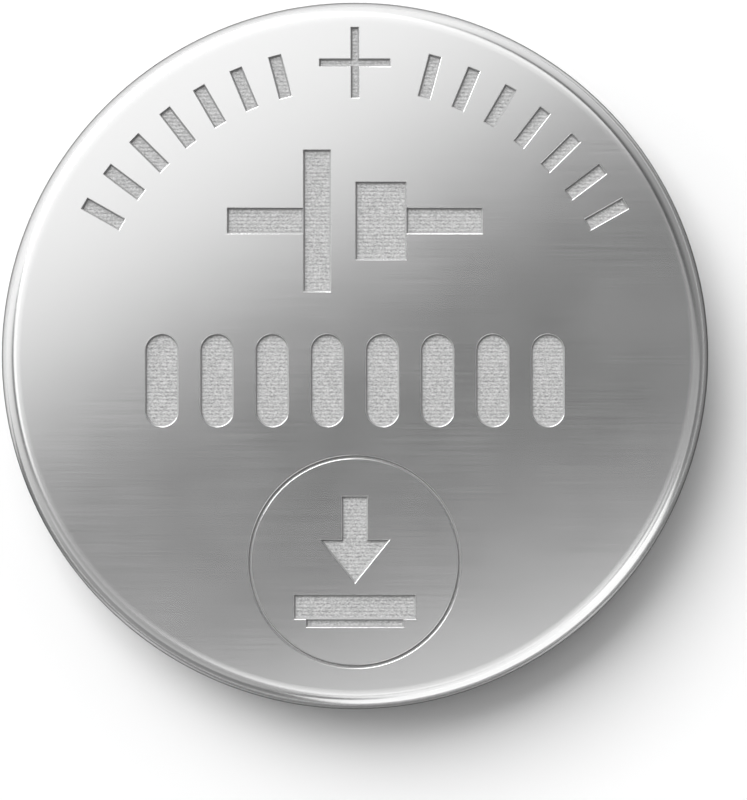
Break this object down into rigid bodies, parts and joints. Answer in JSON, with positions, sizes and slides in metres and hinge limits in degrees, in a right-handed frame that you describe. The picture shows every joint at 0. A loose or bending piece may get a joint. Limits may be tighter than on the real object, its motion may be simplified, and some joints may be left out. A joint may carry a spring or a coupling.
{
  "type": "lithium coin cell",
  "caption": "Flat round battery cell: a crimped steel can with stamped marks, a plastic sealing ring, a raised negative cap and the cell stack inside.",
  "frame": {"origin": "centre of the negative contact face, which the cell lies on", "axes": "+Z along the cell's axis, out of the positive face; +Y towards the plus sign stamped on that face"},
  "size_m": [0.0244, 0.0244, 0.003],
  "materials": {
    "can_steel": "nickel-plated stainless steel, satin with faint straight brushing",
    "gasket_plastic": "natural polypropylene, translucent white",
    "cap_steel": "stainless steel, satin",
    "lithium": "rolled lithium foil, dull grey",
    "separator_fabric": "white non-woven polypropylene",
    "cathode_powder": "pressed manganese dioxide and graphite, matt black",
    "collector_steel": "expanded stainless steel"
  },
  "bodies": {
    "root": {"positive_can": "can_steel", "sealing_gasket": "gasket_plastic", "negative_cap": "cap_steel", "lithium_anode": "lithium", "separator": "separator_fabric", "cathode_pellet": "cathode_powder", "current_collector": "collector_steel"}
  },
  "joints": []
}
